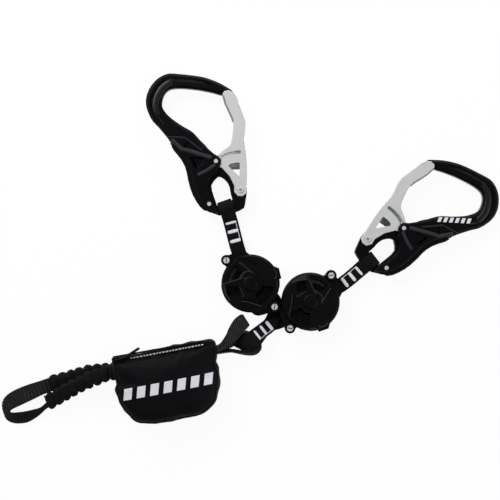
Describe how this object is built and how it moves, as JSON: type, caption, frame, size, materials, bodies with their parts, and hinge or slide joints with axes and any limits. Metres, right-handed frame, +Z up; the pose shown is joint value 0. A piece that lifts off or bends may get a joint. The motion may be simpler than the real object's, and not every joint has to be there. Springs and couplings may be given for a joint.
{
  "type": "via ferrata lanyard",
  "caption": "Via ferrata lanyard laid flat: absorber pouch with tie-in loop, webbing, round retractor reels and palm-squeeze carabiners with slotted channel gates.",
  "frame": {"origin": "centre of the pouch's flat back, on the ground", "axes": "+X along the laid out lanyard from tie-in loop to the right carabiner, +Y towards the left carabiner, +Z up off the ground"},
  "size_m": [0.4275, 0.3007, 0.0297],
  "materials": {
    "webbing": "woven polyamide tape",
    "fabric": "woven pouch cloth",
    "zip": "moulded zip and cord",
    "plastic": "moulded nylon",
    "frame": "forged and anodised black",
    "gate": "bright tumbled",
    "steel": "zinc plated"
  },
  "bodies": {
    "pouch": {"pouch_shell": "fabric", "absorber_pack": "webbing", "zip_chain": "zip", "absorber_tail": "webbing", "gather_upper": "webbing", "gather_lower": "webbing"},
    "zip_slider": {"zip_slider": "zip"},
    "zip_pull": {"zip_pull": "zip"},
    "rest_loop": {"rest_loop": "webbing"},
    "tie_in_loop": {"tie_in_loop": "webbing"},
    "main_strap": {"main_strap": "webbing"},
    "reel_left": {"reel_rear_cover_left": "plastic", "reel_front_cover_left": "plastic", "reel_screw_outer_left": "steel", "reel_screw_inner_left": "steel", "reel_axle_left": "steel", "mainspring_left": "steel", "leg_left": "webbing"},
    "spool_left": {"reel_spool_left": "plastic", "wound_tape_left": "webbing"},
    "arm_left": {"arm_eye_left": "webbing", "arm_tape_left": "webbing"},
    "carabiner_left": {"carabiner_frame_left": "frame", "nose_rivet_left": "steel", "lever_rivet_left": "steel", "gate_rivet_left": "steel", "gate_spring_left": "steel", "lever_spring_left": "steel"},
    "gate_left": {"gate_left": "gate"},
    "palm_lever_left": {"palm_lever_left": "plastic"},
    "reel_right": {"reel_rear_cover_right": "plastic", "reel_front_cover_right": "plastic", "reel_screw_outer_right": "steel", "reel_screw_inner_right": "steel", "reel_axle_right": "steel", "mainspring_right": "steel", "leg_right": "webbing"},
    "spool_right": {"reel_spool_right": "plastic", "wound_tape_right": "webbing"},
    "arm_right": {"arm_eye_right": "webbing", "arm_tape_right": "webbing"},
    "carabiner_right": {"carabiner_frame_right": "frame", "nose_rivet_right": "steel", "lever_rivet_right": "steel", "gate_rivet_right": "steel", "gate_spring_right": "steel", "lever_spring_right": "steel"},
    "gate_right": {"gate_right": "gate"},
    "palm_lever_right": {"palm_lever_right": "plastic"}
  },
  "joints": [
    {"name": "zip_slide", "type": "slide", "parent": "pouch", "child": "zip_slider", "axis": [0.9848, 0.1736, 0], "range_m": [0, 0.064]},
    {"name": "zip_pull_hinge", "type": "hinge", "parent": "zip_slider", "child": "zip_pull", "pos_m": [-0.03828, 0.02128, 0.0252], "axis": [0.1736, -0.9848, 0], "range_deg": [0, 120]},
    {"name": "rest_loop_lift", "type": "hinge", "parent": "pouch", "child": "rest_loop", "pos_m": [0.043, 0.02677, 0.0155], "axis": [0.7193, -0.6947, 0], "range_deg": [0, 25]},
    {"name": "tie_in_swing", "type": "hinge", "parent": "pouch", "child": "tie_in_loop", "pos_m": [-0.09875, -0.008, 0.0076], "axis": [0.1669, 0.986, 0], "range_deg": [0, 40]},
    {"name": "main_strap_lift", "type": "hinge", "parent": "pouch", "child": "main_strap", "pos_m": [0.07545, 0.03798, 0.0077], "axis": [0.6455, -0.7638, 0], "range_deg": [-20, 30], "deforming": ["absorber_tail"]},
    {"name": "reel_fold_left", "type": "hinge", "parent": "main_strap", "child": "reel_left", "pos_m": [0.09005, 0.05855, 0.0077], "axis": [0.866, 0.5, 0], "range_deg": [-6, 4], "deforming": ["leg_left"]},
    {"name": "arm_pull_left", "type": "slide", "parent": "reel_left", "child": "arm_left", "axis": [-0.3584, 0.9336, 0], "range_m": [0, 0.3], "stiffness_N_per_m": 12, "springref_m": -0.1, "deforming": ["arm_tape_left"]},
    {"name": "spool_spin_left", "type": "hinge", "parent": "reel_left", "child": "spool_left", "pos_m": [0.0742, 0.086, 0.0095], "axis": [0, 0, 1], "range_deg": [0, 1110]},
    {"name": "carabiner_swing_left", "type": "hinge", "parent": "arm_left", "child": "carabiner_left", "pos_m": [0.0539, 0.1513, 0.0077], "axis": [0.9397, 0.342, 0], "range_deg": [-60, 60]},
    {"name": "gate_open_left", "type": "hinge", "parent": "carabiner_left", "child": "gate_left", "pos_m": [0.0657, 0.16624, 0.0077], "axis": [0, 0, 1], "range_deg": [0, 20], "stiffness_Nm_per_rad": 0.05, "springref_deg": -34.38},
    {"name": "lever_squeeze_left", "type": "hinge", "parent": "carabiner_left", "child": "palm_lever_left", "pos_m": [0.03883, 0.15411, 0.0077], "axis": [0, 0, -1], "range_deg": [0, 4], "stiffness_Nm_per_rad": 0.05, "springref_deg": -17.19, "deforming": ["lever_spring_left"]},
    {"name": "reel_fold_right", "type": "hinge", "parent": "main_strap", "child": "reel_right", "pos_m": [0.10196, 0.05322, 0.0077], "axis": [0.5878, -0.809, 0], "range_deg": [-6, 5], "deforming": ["leg_right"]},
    {"name": "arm_pull_right", "type": "slide", "parent": "reel_right", "child": "arm_right", "axis": [0.891, 0.454, 0], "range_m": [0, 0.3], "stiffness_N_per_m": 12, "springref_m": -0.1, "deforming": ["arm_tape_right"]},
    {"name": "spool_spin_right", "type": "hinge", "parent": "reel_right", "child": "spool_right", "pos_m": [0.12558, 0.07039, 0.0095], "axis": [0, 0, 1], "range_deg": [0, 1110]},
    {"name": "carabiner_swing_right", "type": "hinge", "parent": "arm_right", "child": "carabiner_right", "pos_m": [0.1765, 0.1051, 0.0077], "axis": [0.6074, -0.7944, 0], "range_deg": [-60, 60]},
    {"name": "gate_open_right", "type": "hinge", "parent": "carabiner_right", "child": "gate_right", "pos_m": [0.17461, 0.12404, 0.0077], "axis": [0, 0, -1], "range_deg": [0, 20], "stiffness_Nm_per_rad": 0.05, "springref_deg": -34.38},
    {"name": "lever_squeeze_right", "type": "hinge", "parent": "carabiner_right", "child": "palm_lever_right", "pos_m": [0.19072, 0.09935, 0.0077], "axis": [0, 0, 1], "range_deg": [0, 4], "stiffness_Nm_per_rad": 0.05, "springref_deg": -17.19, "deforming": ["lever_spring_right"]}
  ],
  "couplings": [
    {"joint": "spool_spin_left", "follows": "arm_pull_left", "rad_per_m": 64.5},
    {"joint": "spool_spin_right", "follows": "arm_pull_right", "rad_per_m": 64.5}
  ]
}
